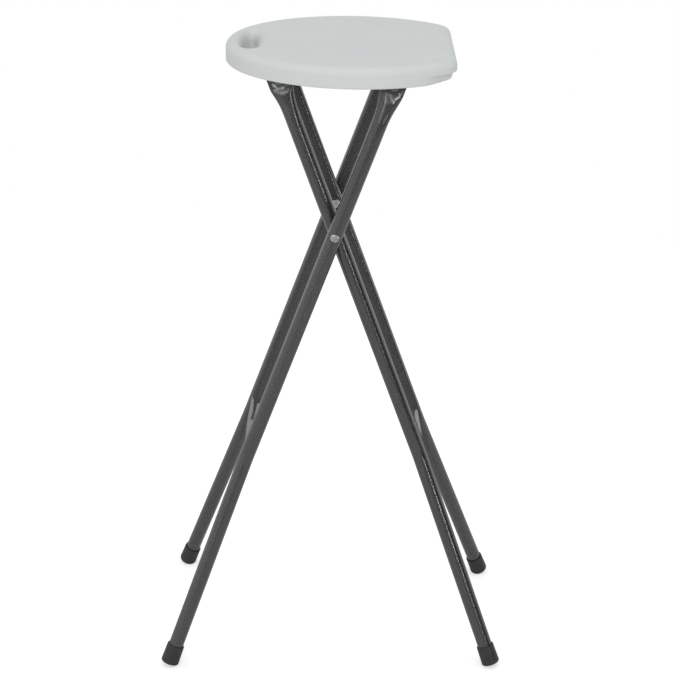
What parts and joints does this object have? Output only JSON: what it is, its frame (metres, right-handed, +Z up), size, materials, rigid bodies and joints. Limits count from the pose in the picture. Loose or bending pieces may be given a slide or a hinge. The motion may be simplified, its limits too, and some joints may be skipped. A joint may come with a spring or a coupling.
{
  "type": "folding bar stool",
  "caption": "Tall folding stool with a flat-sided round plastic seat on crossed tube frames; the seat lifts by a finger hole and the frames close.",
  "frame": {"origin": "centre of the bounding box on the floor, under the crossing of the legs", "axes": "+Z up from the floor to the seat; +X from the finger hole side to the flat side of the seat; +Y from the near pair of legs to the far pair"},
  "size_m": [0.4424, 0.2888, 0.8],
  "materials": {
    "seat_plastic": "fine grained matt moulded plastic",
    "coated_tube": "dark grey hammered powder coat",
    "zinc_hardware": "bright zinc plate",
    "clip_plastic": "black satin plastic",
    "cap_rubber": "black matt rubber",
    "washer_nylon": "natural nylon"
  },
  "bodies": {
    "outer_frame": {"outer_crossbar": "coated_tube", "outer_leg_near": "coated_tube", "outer_foot_cap_near": "cap_rubber", "outer_bar_plug_near": "zinc_hardware", "outer_bar_screw_near": "zinc_hardware", "outer_leg_far": "coated_tube", "outer_foot_cap_far": "cap_rubber", "outer_bar_plug_far": "zinc_hardware", "outer_bar_screw_far": "zinc_hardware", "pivot_bolt_near": "zinc_hardware", "pivot_nut_near": "zinc_hardware", "pivot_washer_near": "washer_nylon", "pivot_bolt_far": "zinc_hardware", "pivot_nut_far": "zinc_hardware", "pivot_washer_far": "washer_nylon"},
    "inner_frame": {"inner_crossbar": "coated_tube", "inner_leg_near": "coated_tube", "inner_foot_cap_near": "cap_rubber", "inner_bar_plug_near": "zinc_hardware", "inner_bar_screw_near": "zinc_hardware", "inner_leg_far": "coated_tube", "inner_foot_cap_far": "cap_rubber", "inner_bar_plug_far": "zinc_hardware", "inner_bar_screw_far": "zinc_hardware"},
    "seat": {"seat_shell": "seat_plastic", "hinge_saddle_near": "zinc_hardware", "bar_clip_near": "clip_plastic", "saddle_screw_near_left": "zinc_hardware", "clip_screw_near_left": "zinc_hardware", "saddle_screw_near_right": "zinc_hardware", "clip_screw_near_right": "zinc_hardware", "hinge_saddle_far": "zinc_hardware", "bar_clip_far": "clip_plastic", "saddle_screw_far_left": "zinc_hardware", "clip_screw_far_left": "zinc_hardware", "saddle_screw_far_right": "zinc_hardware", "clip_screw_far_right": "zinc_hardware"}
  },
  "joints": [
    {"name": "frame_fold", "type": "hinge", "parent": "outer_frame", "child": "inner_frame", "pos_m": [-0.004, 0, 0.578], "axis": [0, 1, 0], "range_deg": [0, 33.5]},
    {"name": "seat_lift", "type": "hinge", "parent": "outer_frame", "child": "seat", "pos_m": [0.06257, 0, 0.763], "axis": [0, 1, 0], "range_deg": [0, 104]}
  ],
  "couplings": [
    {"joint": "seat_lift", "follows": "frame_fold", "ratio": 3.1}
  ]
}
